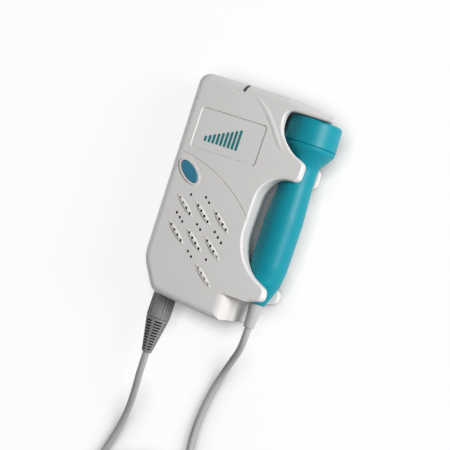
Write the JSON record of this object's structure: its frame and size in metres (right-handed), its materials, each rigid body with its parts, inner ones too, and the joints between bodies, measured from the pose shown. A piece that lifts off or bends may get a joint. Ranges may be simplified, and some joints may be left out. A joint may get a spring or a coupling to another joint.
{
  "type": "pocket doppler",
  "caption": "Hand-held pocket doppler: pale two-part case with a speaker grille and power button, a probe clipped into its side, and a corded plug in its bottom edge.",
  "frame": {"origin": "Centre of the bounding box of the case and probe, on the back face that lies on the table.", "axes": "+X towards the side that holds the probe, +Y towards the top edge, +Z out of the front face."},
  "size_m": [0.088, 0.2971, 0.036],
  "materials": {
    "case_grey": "fine moulded texture",
    "panel_print": "printed film",
    "window_dark": "smoked, polished",
    "probe_teal": "satin moulding",
    "button_teal": "satin moulding",
    "probe_face": "smooth contact face",
    "plug_grey": "fine moulded texture",
    "boot_grey": "soft moulding",
    "sleeve_grey": "soft moulding",
    "cable_grey": "extruded jacket",
    "tie_dark": "soft band",
    "board_green": "solder mask",
    "part_black": "moulded",
    "lamp_clear": "clear lamp body",
    "foam_black": "foam",
    "cone_black": "pressed paper",
    "bare_steel": "plated",
    "pin_brass": "plated",
    "cell_dark": "shrink sleeve",
    "crystal_pale": "fired ceramic",
    "backing_grey": "cast filler"
  },
  "bodies": {
    "case": {"front_shell": "case_grey", "rear_shell": "case_grey", "panel_overlay": "panel_print", "led_lens": "window_dark", "main_board": "board_green", "tact_switch": "part_black", "status_led": "lamp_clear", "headphone_jack": "part_black", "volume_pot": "part_black", "speaker_gasket": "foam_black", "speaker_frame": "bare_steel", "speaker_cone": "cone_black", "speaker_magnet": "bare_steel", "battery_cells": "cell_dark", "battery_contacts": "bare_steel", "case_screws": "bare_steel", "probe_socket": "part_black", "plug_lead": "cable_grey", "probe_lead": "cable_grey", "cord_coil": "cable_grey", "cord_tie": "tie_dark"},
    "power_button": {"power_button": "button_teal", "switch_plunger": "part_black"},
    "volume_wheel": {"volume_wheel": "plug_grey"},
    "probe": {"probe_head": "probe_teal", "probe_lens": "probe_face", "probe_backing": "backing_grey", "probe_crystals": "crystal_pale", "probe_handle": "probe_teal", "probe_board": "board_green", "probe_sleeve": "sleeve_grey"},
    "plug": {"probe_plug": "plug_grey", "plug_boot": "boot_grey", "plug_pins": "pin_brass"},
    "battery_door": {"battery_door": "case_grey"}
  },
  "joints": [
    {"name": "power_button_press", "type": "slide", "parent": "case", "child": "power_button", "axis": [0, 0, -1], "range_m": [0, 0.001], "stiffness_N_per_m": 1200},
    {"name": "volume_wheel_turn", "type": "hinge", "parent": "case", "child": "volume_wheel", "pos_m": [-0.00365, 0.059, 0.0249], "axis": [0, 0, 1], "range_deg": [-135, 135]},
    {"name": "probe_pull_out", "type": "slide", "parent": "case", "child": "probe", "axis": [1, 0, 0], "range_m": [0, 0.06], "deforming": ["probe_lead"]},
    {"name": "plug_pull_out", "type": "slide", "parent": "case", "child": "plug", "axis": [0, -1, 0], "range_m": [0, 0.014], "deforming": ["plug_lead"]},
    {"name": "battery_door_slide", "type": "slide", "parent": "case", "child": "battery_door", "axis": [0, -1, 0], "range_m": [0, 0.057]}
  ]
}
